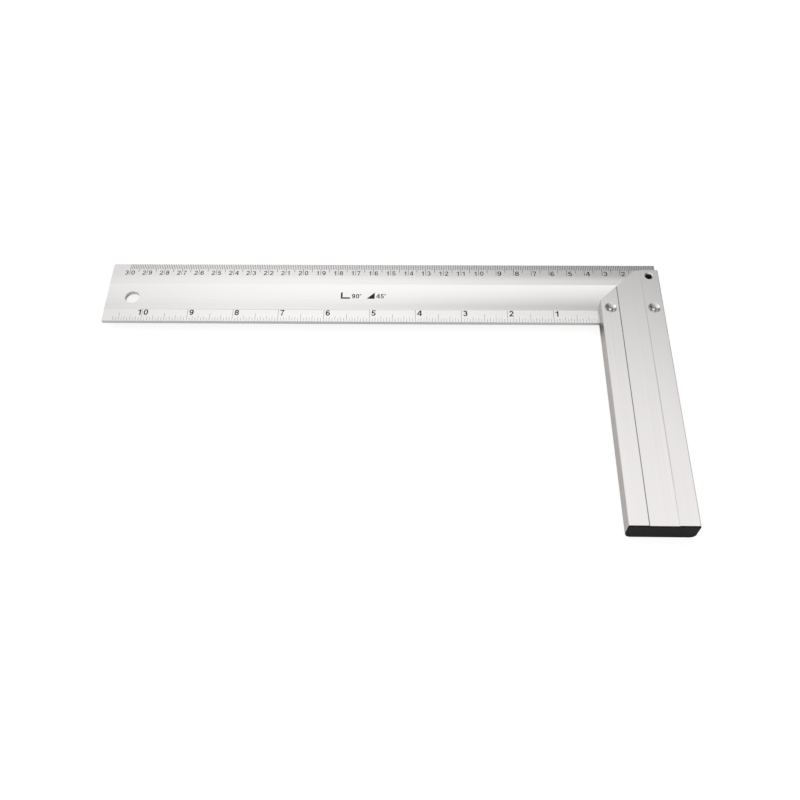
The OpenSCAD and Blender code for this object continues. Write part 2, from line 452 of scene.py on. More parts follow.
def tick_bm(bm, x, y0, y1, w):
    """A printed line across the blade, from y0 to y1, w wide, following the face."""
    ys = sorted([y0, y1] + [b for b in INK_BREAKS if min(y0, y1) < b < max(y0, y1)])
    lo, hi = [], []
    for y in ys:
        z = blade_top(min(max(y, 0.18), BW - 0.18))
        for dx in (-w / 2, w / 2):
            hi.append(bm.verts.new(Vector((x + dx, y, z + INK_UP)) * MM))
            lo.append(bm.verts.new(Vector((x + dx, y, z - INK_DOWN)) * MM))
    k = len(ys)
    for i in range(k - 1):
        a = 2 * i
        bm.faces.new((hi[a], hi[a + 1], hi[a + 3], hi[a + 2]))
        bm.faces.new((lo[a], lo[a + 2], lo[a + 3], lo[a + 1]))
        bm.faces.new((hi[a], hi[a + 2], lo[a + 2], lo[a]))
        bm.faces.new((hi[a + 1], lo[a + 1], lo[a + 3], hi[a + 3]))
    bm.faces.new((hi[0], lo[0], lo[1], hi[1]))
    e = 2 * (k - 1)
    bm.faces.new((hi[e], hi[e + 1], lo[e + 1], lo[e]))


def ink_object(name, bm):
    m = mesh_from_bm(name, bm, 30.0)
    return new_object(name, m)


def build_metric_ticks():
    bm = bmesh.new()
    for i in range(1, 301):
        x = SW - i
        if i % 10 == 0:
            ln, w = 7.9, 0.25
        elif i % 5 == 0:
            ln, w = 5.8, 0.25
        else:
            ln, w = 3.7, 0.25
        tick_bm(bm, x, BW - 0.1, BW - ln, w)
    return ink_object("metric_marks", bm)


def build_inch_ticks():
    bm = bmesh.new()
    step = 25.4 / 16
    for i in range(1, 171):
        x = -i * step
        if i % 16 == 0:
            ln, w = 8.0, 0.17
        elif i % 8 == 0:
            ln, w = 5.3, 0.16
        elif i % 4 == 0:
            ln, w = 3.8, 0.15
        elif i % 2 == 0:
            ln, w = 3.0, 0.15
        else:
            ln, w = 2.3, 0.15
        tick_bm(bm, x, 0.1, ln, w)
    return ink_object("inch_marks", bm)


def ring_prism(cx, cy, rx, ry, s, n=56, power=2.0):
    """Closed oval band of stroke s about the centre line (rx, ry), one unit thick, as a bmesh."""
    bm = bmesh.new()
    rows = []
    for k in range(n):
        a = 2 * math.pi * k / n
        c, d = math.cos(a), math.sin(a)
        c = math.copysign(abs(c) ** (2 / power), c)
        d = math.copysign(abs(d) ** (2 / power), d)
        xo, yo = cx + (rx + s / 2) * c, cy + (ry + s / 2) * d
        xi, yi = cx + (rx - s / 2) * c, cy + (ry - s / 2) * d
        rows.append([bm.verts.new(v) for v in ((xo, yo, 0), (xo, yo, 1), (xi, yi, 1), (xi, yi, 0))])
    for k in range(n):
        p, q = rows[k], rows[(k + 1) % n]
        for i in range(4):
            j = (i + 1) % 4
            bm.faces.new((p[i], q[i], q[j], p[j]))
    bmesh.ops.recalc_face_normals(bm, faces=bm.faces)
    return bm


def stroke_prism(path, s):
    """Closed band of stroke s along an open path, one unit thick, with square ends."""
    bm = bmesh.new()
    rows = []
    n = len(path)
    for i, (x, y) in enumerate(path):
        x0, y0 = path[max(i - 1, 0)]
        x1, y1 = path[min(i + 1, n - 1)]
        L = math.hypot(x1 - x0, y1 - y0)
        nx, ny = -(y1 - y0) / L * s / 2, (x1 - x0) / L * s / 2
        rows.append([bm.verts.new(v) for v in ((x + nx, y + ny, 0), (x + nx, y + ny, 1),
                                               (x - nx, y - ny, 1), (x - nx, y - ny, 0))])
    for p, q in zip(rows, rows[1:]):
        for i in range(4):
            j = (i + 1) % 4
            bm.faces.new((p[i], q[i], q[j], p[j]))
    bm.faces.new(rows[0])
    bm.faces.new(list(reversed(rows[-1])))
    bmesh.ops.recalc_face_normals(bm, faces=bm.faces)
    return bm


def poly_prism(loop, z0=0.0, z1=1.0):
    bm = bmesh.new()
    a = [bm.verts.new((x, y, z0)) for x, y in loop]
    b = [bm.verts.new((x, y, z1)) for x, y in loop]
    bm.faces.new(a)
    bm.faces.new(list(reversed(b)))
    for i in range(len(loop)):
        j = (i + 1) % len(loop)
        bm.faces.new((a[j], a[i], b[i], b[j]))
    bmesh.ops.recalc_face_normals(bm, faces=bm.faces)
    return bm


def oval(cx, cy, rx, ry, a0, a1, n=26):
    return [(cx + rx * math.cos(math.radians(a0 + (a1 - a0) * i / n)),
             cy + ry * math.sin(math.radians(a0 + (a1 - a0) * i / n))) for i in range(n + 1)]


def numeral_parts(d, s):
    """(parts to join, parts to cut) of a plain numeral of unit height and stroke s."""
    w = 0.57
    h = s / 2
    rx = w / 2 - h
    cx = w / 2
    mid = 0.53
    r1, r2 = (1 - h - mid) / 2, (mid - h) / 2
    if d == "0":
        return [ring_prism(cx, 0.5, rx, 0.5 - h, s, 64, 2.25)], []
    if d == "1":
        x = 0.34
        return [poly_prism([(x, 0), (x + s, 0), (x + s, 1), (x + s * 0.3, 1), (x - s * 0.25, 0.875),
                            (x - 0.22, 0.80), (x - 0.22, 0.80 - s * 0.78), (x, 0.80 - s * 0.5)])], []
    if d == "2":
        arc_ = oval(cx, 1 - h - 0.235, rx, 0.235, 172, -28)
        xe, ye = arc_[-1]
        tail = [(xe - (xe - 0.075) * t - 0.02 * math.sin(math.pi * t), ye - (ye - 0.05) * t)
                for t in (0.2, 0.4, 0.6, 0.8, 1.0)]
        return [stroke_prism(arc_ + tail, s), poly_prism([(0.0, 0), (w, 0), (w, s), (0.0, s)])], []
    if d == "3":
        top = oval(cx - 0.01, mid + r1, rx - 0.02, r1, 168, -92)
        bot = oval(cx, mid - r2, rx, r2, 92, -168)
        return [stroke_prism(top, s), stroke_prism(bot, s)], []
    if d == "4":
        x, y = 0.37, 0.225
        return ([poly_prism([(x - 0.02, 1), (x + s, 1), (x + s, y + s), (w + 0.02, y + s), (w + 0.02, y), (x + s, y),
                             (x + s, 0), (x, 0), (x, y), (0, y), (0, y + s * 1.1)])],
                [poly_prism([(x, y + s), (x, 1 - s * 1.6), (0.0 + s * 0.85, y + s)], -0.5, 1.5)])
    if d == "5":
        bowl = oval(cx - 0.01, 0.325, rx + 0.005, 0.325 - h, 142, -160)
        return [stroke_prism(bowl, s),
                poly_prism([(0.1, 1), (0.53, 1), (0.53, 1 - s), (0.1, 1 - s)]),
                poly_prism([(0.1, 1), (0.1 + s * 0.95, 1), (0.045 + s * 0.95, 0.46), (0.03, 0.43)])], []
    if d in "69":
        stem = oval(cx + 0.005, 0.5, rx, 0.5 - h, 38, 212)
        parts = [ring_prism(cx, 0.32, rx, 0.32 - h, s), stroke_prism(stem, s)]
        if d == "9":
            for bm in parts:
                bmesh.ops.rotate(bm, verts=bm.verts, cent=(cx, 0.5, 0.5), matrix=Matrix.Rotation(math.pi, 3, "Z"))
        return parts, []
    if d == "7":
        return [poly_prism([(0.01, 1 - s), (0.55, 1 - s), (0.55, 1), (0.01, 1)]),
                poly_prism([(0.55 - s * 1.12, 1 - s * 0.9), (0.55, 1 - s * 0.9), (0.36, 0.55), (0.17 + s * 1.05, 0),
                            (0.15, 0), (0.235, 0.42)])], []
    return [ring_prism(cx, mid + r1, rx - 0.025, r1, s), ring_prism(cx, mid - r2, rx, r2, s)], []


_glyph_cache = {}


def glyph(d, s):
    """(verts, faces, width) of a numeral, as a closed solid one unit thick."""
    key = (d, s)
    if key in _glyph_cache:
        return _glyph_cache[key]
    add, cut = numeral_parts(d, s)
    m = bpy.data.meshes.new("glyph")
    add[0].to_mesh(m)
    o = new_object("glyph", m)
    for bm in add[1:]:
        boolean(o, bm, "UNION")
    for bm in cut:
        boolean(o, bm, "DIFFERENCE")
    bm = bmesh.new()
    bm.from_mesh(o.data)
    bmesh.ops.remove_doubles(bm, verts=bm.verts, dist=1e-4)
    bmesh.ops.triangulate(bm, faces=bm.faces)
    bm.verts.index_update()
    x0 = min(v.co.x for v in bm.verts)
    vs = [(v.co.x - x0, v.co.y, v.co.z) for v in bm.verts]
    fs = [[v.index for v in f.verts] for f in bm.faces]
    bm.free()
    dead = o.data
    bpy.data.objects.remove(o)
    bpy.data.meshes.remove(dead)
    _glyph_cache[key] = (vs, fs, max(v[0] for v in vs))
    return _glyph_cache[key]


def place_glyph(bm, text, weight, x, y, height, width_scale):
    """Adds a numeral to bm with its lower left corner at (x, y), as a thin closed solid on the blade's face."""
    vs, fs, w = glyph(text, weight)
    out = []
    for gx, gy, gz in vs:
        px, py = x + gx * height * width_scale, y + gy * height
        z = blade_top(py) + (INK_UP if gz > 0.5 else -INK_DOWN)
        out.append(bm.verts.new(Vector((px, py, z)) * MM))
    for f in fs:
        bm.faces.new([out[i] for i in f])
    return w * height * width_scale


def glyph_width(text, weight, height, width_scale):
    return glyph(text, weight)[2] * height * width_scale


def build_metric_numbers():
    bm = bmesh.new()
    y = BW - 7.95
    for cm in range(1, 31):
        x = SW - 10 * cm
        s = str(cm)
        if cm >= 10:
            h, ws, wt = 3.15, 1.1, 0.14
            place_glyph(bm, s[0], wt, x - (2.4 if s[0] == "1" else 2.71), y, h, ws)
            place_glyph(bm, s[1], wt, x + 0.85, y, h, ws)
        else:
            place_glyph(bm, s, 0.145, x + 0.75, y, 3.25, 1.18)
    return ink_object("metric_numbers", bm)


def build_inch_numbers():
    bm = bmesh.new()
    h, ws, wt = 3.8, 1.12, 0.165
    y = 4.05
    for n in range(1, 11):
        x = -25.4 * n
        s = str(n)
        if n >= 10:
            wl = glyph_width(s[0], wt, h, ws)
            place_glyph(bm, s[0], wt, x - 0.8 - wl, y, h, ws)
            place_glyph(bm, s[1], wt, x + 0.8, y, h, ws)
        else:
            place_glyph(bm, s, wt, x + 1.0, y, h, ws)
    return ink_object("inch_numbers", bm)


def flat_mark(bm, loop):
    """A printed convex patch given as an (x, y) loop."""
    top = [bm.verts.new(Vector((x, y, blade_top(y) + INK_UP)) * MM) for x, y in loop]
    bot = [bm.verts.new(Vector((x, y, blade_top(y) - INK_DOWN)) * MM) for x, y in loop]
    n = len(loop)
    bm.faces.new(top)
    bm.faces.new(list(reversed(bot)))
    for i in range(n):
        j = (i + 1) % n
        bm.faces.new((top[j], top[i], bot[i], bot[j]))


def bar(bm, xa, ya, xb, yb, w):
    """A printed straight line of width w, in short steps so that it follows the face."""
    L = math.hypot(xb - xa, yb - ya)
    ux, uy = (xb - xa) / L, (yb - ya) / L
    nx, ny = -uy * w / 2, ux * w / 2
    k = max(1, int(abs(yb - ya) / 0.8))
    pts = [(xa + (xb - xa) * i / k, ya + (yb - ya) * i / k) for i in range(k + 1)]
    tl = [bm.verts.new(Vector((x + nx, y + ny, blade_top(y + ny) + INK_UP)) * MM) for x, y in pts]
    tr = [bm.verts.new(Vector((x - nx, y - ny, blade_top(y - ny) + INK_UP)) * MM) for x, y in pts]
    bl = [bm.verts.new(Vector((x + nx, y + ny, blade_top(y + ny) - INK_DOWN)) * MM) for x, y in pts]
    br = [bm.verts.new(Vector((x - nx, y - ny, blade_top(y - ny) - INK_DOWN)) * MM) for x, y in pts]
    for i in range(k):
        bm.faces.new((tl[i], tr[i], tr[i + 1], tl[i + 1]))
        bm.faces.new((bl[i], bl[i + 1], br[i + 1], br[i]))
        bm.faces.new((tl[i], tl[i + 1], bl[i + 1], bl[i]))
        bm.faces.new((tr[i], br[i], br[i + 1], tr[i + 1]))
    bm.faces.new((tl[0], bl[0], br[0], tr[0]))
    bm.faces.new((tl[k], tr[k], br[k], bl[k]))


def build_pictogram():
    """Generic marks: a right angle with 90 degrees, a half square with 45 degrees."""
    bm = bmesh.new()
    x0, y0 = -143.6, 15.9
    h, w = 4.4, 0.95
    # right angle, as one L-shaped patch in two bars
    bar(bm, x0, y0 + w / 2, x0 + 5.2, y0 + w / 2, w)
    bar(bm, x0 + w / 2, y0 + w + 0.001, x0 + w / 2, y0 + h, w)
    nx = x0 + 6.2
    for d in "90":
        nx += place_glyph(bm, d, 0.16, nx, y0 + 0.25, 3.1, 1.05) + 0.42
    degree(bm, nx + 0.35, y0 + 2.85, 0.36, 0.26)
    # half square, filled
    xt = x0 + 14.6
    k = 8
    hyp = [(xt + h * i / k, y0 + h * i / k) for i in range(k + 1)]
    for i in range(k):
        (xa, ya), (xb, yb) = hyp[i], hyp[i + 1]
        patch = [(xa, ya), (xt + h, ya), (xt + h, yb), (xb, yb)]
        if i == k - 1:
            patch = patch[:3]
        shift = 0.0006 * i
        flat_mark(bm, [(x, y + shift) for x, y in patch])
    nx = xt + h + 1.0
    for d in "45":
        nx += place_glyph(bm, d, 0.16, nx, y0 + 0.25, 3.1, 1.05) + 0.42
    degree(bm, nx + 0.35, y0 + 2.85, 0.36, 0.26)
    return ink_object("angle_pictogram", bm)


def degree(bm, cx, cy, r, s):
    """A small ring."""
    n = 24
    rows = []
    for k in range(n):
        a = 2 * math.pi * k / n
        row = []
        for rr, up in ((r + s / 2, -1), (r + s / 2, 1), (r - s / 2, 1), (r - s / 2, -1)):
            x, y = cx + rr * math.cos(a), cy + rr * math.sin(a)
            z = blade_top(y) + (INK_UP if up > 0 else -INK_DOWN)
            row.append(bm.verts.new(Vector((x, y, z)) * MM))
        rows.append(row)
    for k in range(n):
        p, q = rows[k], rows[(k + 1) % n]
        for i in range(4):
            j = (i + 1) % 4
            bm.faces.new((p[i], q[i], q[j], p[j]))


# ---------------------------------------------------------------------------
# Materials
# ---------------------------------------------------------------------------
class Nodes:
    def __init__(self, name):
        self.mat = bpy.data.materials.new(name)
        self.mat.use_nodes = True
        self.t = self.mat.node_tree
        self.t.nodes.clear()

    def add(self, kind, **kw):
        n = self.t.nodes.new(kind)
        for k, v in kw.items():
            setattr(n, k, v)
        return n

    def link(self, a, b):
        self.t.links.new(a, b)

    def value(self, socket, v):
        socket.default_value = v

    def coords(self, scale):
        tc = self.add("ShaderNodeTexCoord")
        mp = self.add("ShaderNodeMapping")
        mp.inputs["Scale"].default_value = scale
        self.link(tc.outputs["Object"], mp.inputs["Vector"])
        return mp.outputs["Vector"]

    def noise(self, vec, scale, detail=2.0, rough=0.5):
        n = self.add("ShaderNodeTexNoise")
        n.inputs["Scale"].default_value = scale
        n.inputs["Detail"].default_value = detail
        n.inputs["Roughness"].default_value = rough
        self.link(vec, n.inputs["Vector"])
        return n.outputs["Fac"]

    def remap(self, fac, lo, hi, a=0.0, b=1.0):
        m = self.add("ShaderNodeMapRange")
        m.inputs["From Min"].default_value = a
        m.inputs["From Max"].default_value = b
        m.inputs["To Min"].default_value = lo
        m.inputs["To Max"].default_value = hi
        self.link(fac, m.inputs["Value"])
        return m.outputs["Result"]

    def edge_wear(self, geo, radius_mm, amount):
        """Grows to amount within radius_mm of an edge."""
        b = self.add("ShaderNodeBevel", samples=4)
        b.inputs["Radius"].default_value = radius_mm * MM
        d = self.add("ShaderNodeVectorMath", operation="DOT_PRODUCT")
        self.link(b.outputs[0], d.inputs[0])
        self.link(geo.outputs["True Normal"], d.inputs[1])
        return self.remap(d.outputs["Value"], amount, 0.0, 0.75, 0.99)

    def math(self, op, a, b):
        m = self.add("ShaderNodeMath")
        m.operation = op
        for i, v in enumerate((a, b)):
            if isinstance(v, (int, float)):
                m.inputs[i].default_value = v
            else:
                self.link(v, m.inputs[i])
        return m.outputs[0]


def aluminium(name, colour, along, rough=0.34, aniso=0.55, streak=0.05, bump_um=1.0, tone=0.03, shaded_interior_z=None, recess_shade=None, drilled=None, mouth_shade=None, corner=None):
    """Anodised aluminium with a fine drawn grain along one axis, soft patches and bright worn edges; optional masks
    paint shade into its hollows and corners.
    """
    n = Nodes(name)
    out = n.add("ShaderNodeOutputMaterial")
    p = n.add("ShaderNodeBsdfPrincipled")
    n.link(p.outputs[0], out.inputs[0])
    long_s, cross_s = 6.0, 1400.0
    sc = (long_s, cross_s, cross_s) if along == "x" else (cross_s, long_s, cross_s)
    grain = n.noise(n.coords(sc), 1.0, 3.0, 0.6)
    sc2 = (1.5, 220.0, 220.0) if along == "x" else (220.0, 1.5, 220.0)
    die = n.noise(n.coords(sc2), 1.0, 2.0, 0.5)          # faint drawing lines from the die
    patch = n.noise(n.coords((1, 1, 1)), 26.0, 3.0, 0.55)  # cloudy anodising
    speck = n.noise(n.coords((1, 1, 1)), 5200.0, 1.0, 0.5)  # matt etch

    # colour
    t1 = n.math("MULTIPLY", n.math("SUBTRACT", patch, 0.5), tone * 2)
    t2 = n.math("MULTIPLY", n.math("SUBTRACT", die, 0.5), tone)
    t3 = n.math("MULTIPLY", n.math("SUBTRACT", grain, 0.5), tone * 0.8)
    k = n.math("ADD", n.math("ADD", n.math("ADD", t1, t2), t3), 1.0)
    geo = n.add("ShaderNodeNewGeometry")
    k = n.math("ADD", k, n.edge_wear(geo, 0.15, 0.05))
    shade_and_matt = None
    if shaded_interior_z:
        # painted shade and rougher metal deep inside the stock, from behind the open end and the mitre: the base colour
        # is darkened there
        tc = n.add("ShaderNodeTexCoord")
        xyz = n.add("ShaderNodeSeparateXYZ")
        n.link(tc.outputs["Object"], xyz.inputs[0])
        ox, oy, oz = xyz.outputs[0], xyz.outputs[1], xyz.outputs[2]
        az = n.math("ABSOLUTE", oz, 0.0)
        deep_z = n.remap(az, 1.0, 0.0, (shaded_interior_z - 0.05) * MM, (shaded_interior_z + 0.02) * MM)
        end = n.remap(oy, 1.0, 0.0, (YTOP - 0.9) * MM, (YTOP - 0.25) * MM)
        mit = n.remap(n.math("SUBTRACT", ox, oy), 0.0, 1.0, (-YTOP + MITRE + 1.0) * MM, (-YTOP + MITRE + 4.5) * MM)
        side = n.math("MULTIPLY", n.remap(ox, 0.0, 1.0, (SIDE_WALL - 0.2) * MM, (SIDE_WALL - 0.05) * MM),
                      n.remap(ox, 1.0, 0.0, (SW - SIDE_WALL + 0.05) * MM, (SW - SIDE_WALL + 0.2) * MM))
        shade_and_matt = n.math("MULTIPLY", n.math("MULTIPLY", deep_z, end), n.math("MULTIPLY", mit, side))
        # the open corner hole gets the same painted shade and rougher metal, up to just below its chamfer
        dx, dy = n.math("SUBTRACT", ox, CORNER[0] * MM), n.math("SUBTRACT", oy, CORNER[1] * MM)
        dist = n.math("POWER", n.math("ADD", n.math("MULTIPLY", dx, dx), n.math("MULTIPLY", dy, dy)), 0.5)
        bore_shade = n.math("MULTIPLY", n.remap(dist, 1.0, 0.0, (CORNER[2] + 0.02) * MM, (CORNER[2] + 0.1) * MM),
                      n.remap(az, 1.0, 0.0, (CORNER_SHADE_TOP - 0.2) * MM, (CORNER_SHADE_TOP + 0.2) * MM))
        shade_and_matt = n.math("MAXIMUM", shade_and_matt, bore_shade)
        # painted shade: the base colour falls to 0.13 of itself where the mask is full
        k = n.math("MULTIPLY", k, n.remap(shade_and_matt, 1.0, 0.13))
    if corner:
        # painted contact shadow along the inner face of the stock where the blade enters, fading in from corner[0] to
        # corner[1], darkened to corner[2] of the colour
        contact_shadow = n.math("MULTIPLY", n.remap(n.math("ABSOLUTE", ox, 0.0), 1.0, 0.0, 0.05 * MM, 0.12 * MM),
                      n.remap(oy, 0.0, 1.0, corner[0] * MM, corner[1] * MM))
        k = n.math("MULTIPLY", k, n.remap(contact_shadow, 1.0, corner[2]))
    if recess_shade:
        # painted shade at the bottom of a recess: full colour at the upper given height, 0.3 of it at the lower one, on
        # both faces
        tc = n.add("ShaderNodeTexCoord")
        xyz = n.add("ShaderNodeSeparateXYZ")
        n.link(tc.outputs["Object"], xyz.inputs[0])
        k = n.math("MULTIPLY", k, n.remap(n.math("ABSOLUTE", xyz.outputs[2], 0.0), 0.3, 1.0,
                                          recess_shade[0] * MM, recess_shade[1] * MM))
    if mouth_shade:
        # both rivet mouths at once: painted shade on the wall above the valley and along the lower rim
        mx = n.math("SUBTRACT", n.math("ABSOLUTE", n.math("SUBTRACT", xyz.outputs[0], mouth_shade[0] * MM), 0.0), mouth_shade[1] * MM)
        my = n.math("SUBTRACT", xyz.outputs[1], mouth_shade[2] * MM)
        rad = n.math("POWER", n.math("ADD", n.math("MULTIPLY", mx, mx), n.math("MULTIPLY", my, my)), 0.5)
        wall = n.math("MULTIPLY", n.remap(rad, 0.0, 1.0, 1.3 * MM, 1.5 * MM), n.remap(rad, 1.0, 0.0, 1.9 * MM, 2.6 * MM))
        wall = n.math("MULTIPLY", wall, n.remap(my, 0.0, 1.0, -0.6 * MM, 0.4 * MM))
        rim_shade = n.math("MULTIPLY", n.remap(rad, 0.0, 1.0, 2.3 * MM, 2.7 * MM), n.remap(my, 1.0, 0.0, -1.4 * MM, -0.6 * MM))
        k = n.math("MULTIPLY", k, n.math("MULTIPLY", n.remap(wall, 1.0, 0.64), n.remap(rim_shade, 1.0, 0.66)))
    col = n.add("ShaderNodeVectorMath", operation="SCALE")
    col.inputs[0].default_value = colour
    n.link(k, col.inputs["Scale"])
    n.link(col.outputs[0], p.inputs["Base Color"])
    p.inputs["Metallic"].default_value = 1.0

    # roughness
    r = n.math("ADD", n.remap(grain, rough - streak, rough + streak, 0.25, 0.75),
               n.math("MULTIPLY", n.math("SUBTRACT", patch, 0.5), 0.06))
    if shade_and_matt:
        r = n.math("ADD", r, n.remap(shade_and_matt, 0.0, 0.3))
    if drilled:
        # the wall of a plain drilled hole is matt and pale
        cx, cy = n.math("SUBTRACT", ox, drilled[0] * MM), n.math("SUBTRACT", oy, drilled[1] * MM)
        far = n.math("POWER", n.math("ADD", n.math("MULTIPLY", cx, cx), n.math("MULTIPLY", cy, cy)), 0.5)
        matt = n.remap(far, 1.0, 0.0, (drilled[2] + 0.01) * MM, (drilled[2] + 0.04) * MM)
        if len(drilled) > 3:
            matt = n.math("MULTIPLY", matt, n.remap(az, 0.0, 1.0, (drilled[3] - 0.2) * MM, (drilled[3] + 0.2) * MM))
        n.link(n.remap(matt, 1.0, 0.1), p.inputs["Metallic"])
        r = n.math("ADD", r, n.remap(matt, 0.0, 0.4))
    n.link(r, p.inputs["Roughness"])
    p.inputs["Anisotropic"].default_value = aniso
    # the grain runs along one axis, so light spreads across it
    tan = n.add("ShaderNodeVectorMath", operation="CROSS_PRODUCT")
    n.link(geo.outputs["True Normal"], tan.inputs[0])
    tan.inputs[1].default_value = (1.0, 0.0, 0.0) if along == "x" else (0.0, 1.0, 0.0)
    off = n.add("ShaderNodeVectorMath", operation="ADD")       # keeps it defined on the sawn ends
    n.link(tan.outputs[0], off.inputs[0])
    off.inputs[1].default_value = (0.0, 0.0, 0.01)
    n.link(off.outputs[0], p.inputs["Tangent"])

    # bump
    b1 = n.add("ShaderNodeBump")
    b1.inputs["Strength"].default_value = 1.0
    b1.inputs["Distance"].default_value = bump_um * 1e-6
    n.link(grain, b1.inputs["Height"])
    b2 = n.add("ShaderNodeBump")
    b2.inputs["Strength"].default_value = 1.0
    b2.inputs["Distance"].default_value = bump_um * 0.8e-6
    n.link(speck, b2.inputs["Height"])
    n.link(b1.outputs[0], b2.inputs["Normal"])
    n.link(b2.outputs[0], p.inputs["Normal"])
    return n.mat


def plastic(name, colour):
    """Black moulded plastic with a fine spark-eroded texture and slightly rubbed edges."""
    n = Nodes(name)
    out = n.add("ShaderNodeOutputMaterial")
    p = n.add("ShaderNodeBsdfPrincipled")
    n.link(p.outputs[0], out.inputs[0])
    fine = n.noise(n.coords((1, 1, 1)), 2600.0, 3.0, 0.6)
    cloud = n.noise(n.coords((1, 1, 1)), 90.0, 3.0, 0.5)
    k = n.math("ADD", n.math("MULTIPLY", n.math("SUBTRACT", fine, 0.5), 0.5),
               n.math("ADD", n.math("MULTIPLY", n.math("SUBTRACT", cloud, 0.5), 0.3), 1.0))
    geo = n.add("ShaderNodeNewGeometry")
    k = n.math("ADD", k, n.edge_wear(geo, 0.25, 0.7))
    col = n.add("ShaderNodeVectorMath", operation="SCALE")
    col.inputs[0].default_value = colour
    n.link(k, col.inputs["Scale"])
    n.link(col.outputs[0], p.inputs["Base Color"])
    n.link(n.remap(fine, 0.42, 0.6, 0.3, 0.7), p.inputs["Roughness"])
    p.inputs["Specular IOR Level"].default_value = 0.20
    b = n.add("ShaderNodeBump")
    b.inputs["Strength"].default_value = 1.0
    b.inputs["Distance"].default_value = 12e-6
    n.link(fine, b.inputs["Height"])
    n.link(b.outputs[0], p.inputs["Normal"])
    return n.mat


def ink(name, colour, fade=0.12):
    """Printed enamel: slightly uneven density, semi-matt."""
    n = Nodes(name)
    out = n.add("ShaderNodeOutputMaterial")
    p = n.add("ShaderNodeBsdfPrincipled")
    n.link(p.outputs[0], out.inputs[0])
    fine = n.noise(n.coords((1, 1, 1)), 3500.0, 2.0, 0.5)
    cloud = n.noise(n.coords((1, 1, 1)), 160.0, 2.0, 0.5)
    k = n.math("ADD", n.math("MULTIPLY", n.math("SUBTRACT", fine, 0.5), 2 * fade),
               n.math("ADD", n.math("MULTIPLY", n.math("SUBTRACT", cloud, 0.5), 2 * fade), 1.0))
    col = n.add("ShaderNodeVectorMath", operation="SCALE")
    col.inputs[0].default_value = colour
    n.link(k, col.inputs["Scale"])
    n.link(col.outputs[0], p.inputs["Base Color"])
    n.link(n.remap(fine, 0.45, 0.62), p.inputs["Roughness"])
    p.inputs["Specular IOR Level"].default_value = 0.3
    b = n.add("ShaderNodeBump")
    b.inputs["Strength"].default_value = 0.6
    b.inputs["Distance"].default_value = 3e-6
    n.link(fine, b.inputs["Height"])
    n.link(b.outputs[0], p.inputs["Normal"])
    return n.mat


def face_weighted(o):
    """Wide flats keep their own normals, only the small rounds between them are shaded smooth."""
    mod = o.modifiers.new("face_weighted", "WEIGHTED_NORMAL")
    mod.mode = "FACE_AREA"
    mod.weight = 50
    mod.keep_sharp = True


def dress(o, mat, node=None):
    face_weighted(o)
    o.data.materials.clear()
    o.data.materials.append(mat)
    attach(o, "root")
    if node:
        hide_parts(node)
    return o


# blade and stock get painted shade deep inside the stock, the stock also along its inner face by the blade; the rivets
# get painted shade in their mouths
MAT_BLADE = aluminium("satin_blade", (0.917, 0.898, 0.891), "x", 0.22, 0.3, 0.02, 0.5, 0.012, 1.62,
                      drilled=HANG)
MAT_STOCK = aluminium("anodised_stock", (0.820, 0.799, 0.792), "y", 0.25, 0.3, 0.03, 0.6, 0.018, WALL_H + 0.1,
                      drilled=(*CORNER, CORNER_SHADE_TOP), corner=(-9.0, -3.5, 0.5))
MAT_RIVET = aluminium("bright_rivet", (0.88, 0.87, 0.86), "x", 0.2, 0.0, 0.04, 0.6, 0.04,
                      recess_shade=(RIV_TOP - 1.29, RIV_TOP - 1.12),
                      mouth_shade=((RIV_X[0] + RIV_X[1]) / 2, (RIV_X[1] - RIV_X[0]) / 2, RIV_Y))
MAT_CAP = plastic("moulded_black", (0.0052, 0.0053, 0.0048))
MAT_INK_CM = ink("grey_ink", (0.030, 0.030, 0.030))
MAT_INK_IN = ink("black_ink", (0.014, 0.014, 0.014))
MAT_INK_LINE = ink("line_ink", (0.09, 0.09, 0.09))

dress(build_blade(), MAT_BLADE, "blade")
dress(build_handle(), MAT_STOCK, "handle")
dress(build_rivet("rivet_near_inner_face", RIV_X[0]), MAT_RIVET, "rivet_inner")
dress(build_rivet("rivet_near_outer_face", RIV_X[1]), MAT_RIVET, "rivet_outer")
dress(build_cap(), MAT_CAP, "end_cap")
dress(build_metric_ticks(), MAT_INK_CM)
dress(build_metric_numbers(), MAT_INK_CM)
dress(build_inch_ticks(), MAT_INK_LINE)
dress(build_inch_numbers(), MAT_INK_IN)
dress(build_pictogram(), MAT_INK_IN)


# ---------------------------------------------------------------------------
# Floor, light, camera
# ---------------------------------------------------------------------------
def build_floor():
    z = -HALF - 0.02
    bm = bmesh.new()
    s = 4000.0
    vs = [bm.verts.new(Vector((x * s - 120, y * s - 40, z)) * MM) for x, y in ((-1, -1), (1, -1), (1, 1), (-1, 1))]
    bm.faces.new(vs)
    o = new_object("floor", mesh_from_bm("floor", bm))
    n = Nodes("pale_floor")
    out = n.add("ShaderNodeOutputMaterial")
    d = n.add("ShaderNodeBsdfDiffuse")
    d.inputs["Color"].default_value = (0.65, 0.64, 0.63, 1)
    glow = n.add("ShaderNodeEmission")
    glow.inputs["Color"].default_value = (1.0, 0.985, 0.975, 1)
    glow.inputs["Strength"].default_value = 0.03
    low = n.add("ShaderNodeAddShader")
    n.link(d.outputs[0], low.inputs[0])
    n.link(glow.outputs[0], low.inputs[1])
    e = n.add("ShaderNodeEmission")
    e.inputs["Color"].default_value = (1, 1, 1, 1)
    e.inputs["Strength"].default_value = 0.84
    soft = n.add("ShaderNodeBsdfDiffuse")
    soft.inputs["Color"].default_value = (0.28, 0.28, 0.28, 1)
    add = n.add("ShaderNodeAddShader")
    n.link(soft.outputs[0], add.inputs[0])
    n.link(e.outputs[0], add.inputs[1])
    lp = n.add("ShaderNodeLightPath")
    mix = n.add("ShaderNodeMixShader")
    n.link(lp.outputs["Is Camera Ray"], mix.inputs[0])
    n.link(low.outputs[0], mix.inputs[1])
    n.link(add.outputs[0], mix.inputs[2])
    n.link(mix.outputs[0], out.inputs[0])
    o.data.materials.append(n.mat)
    return o


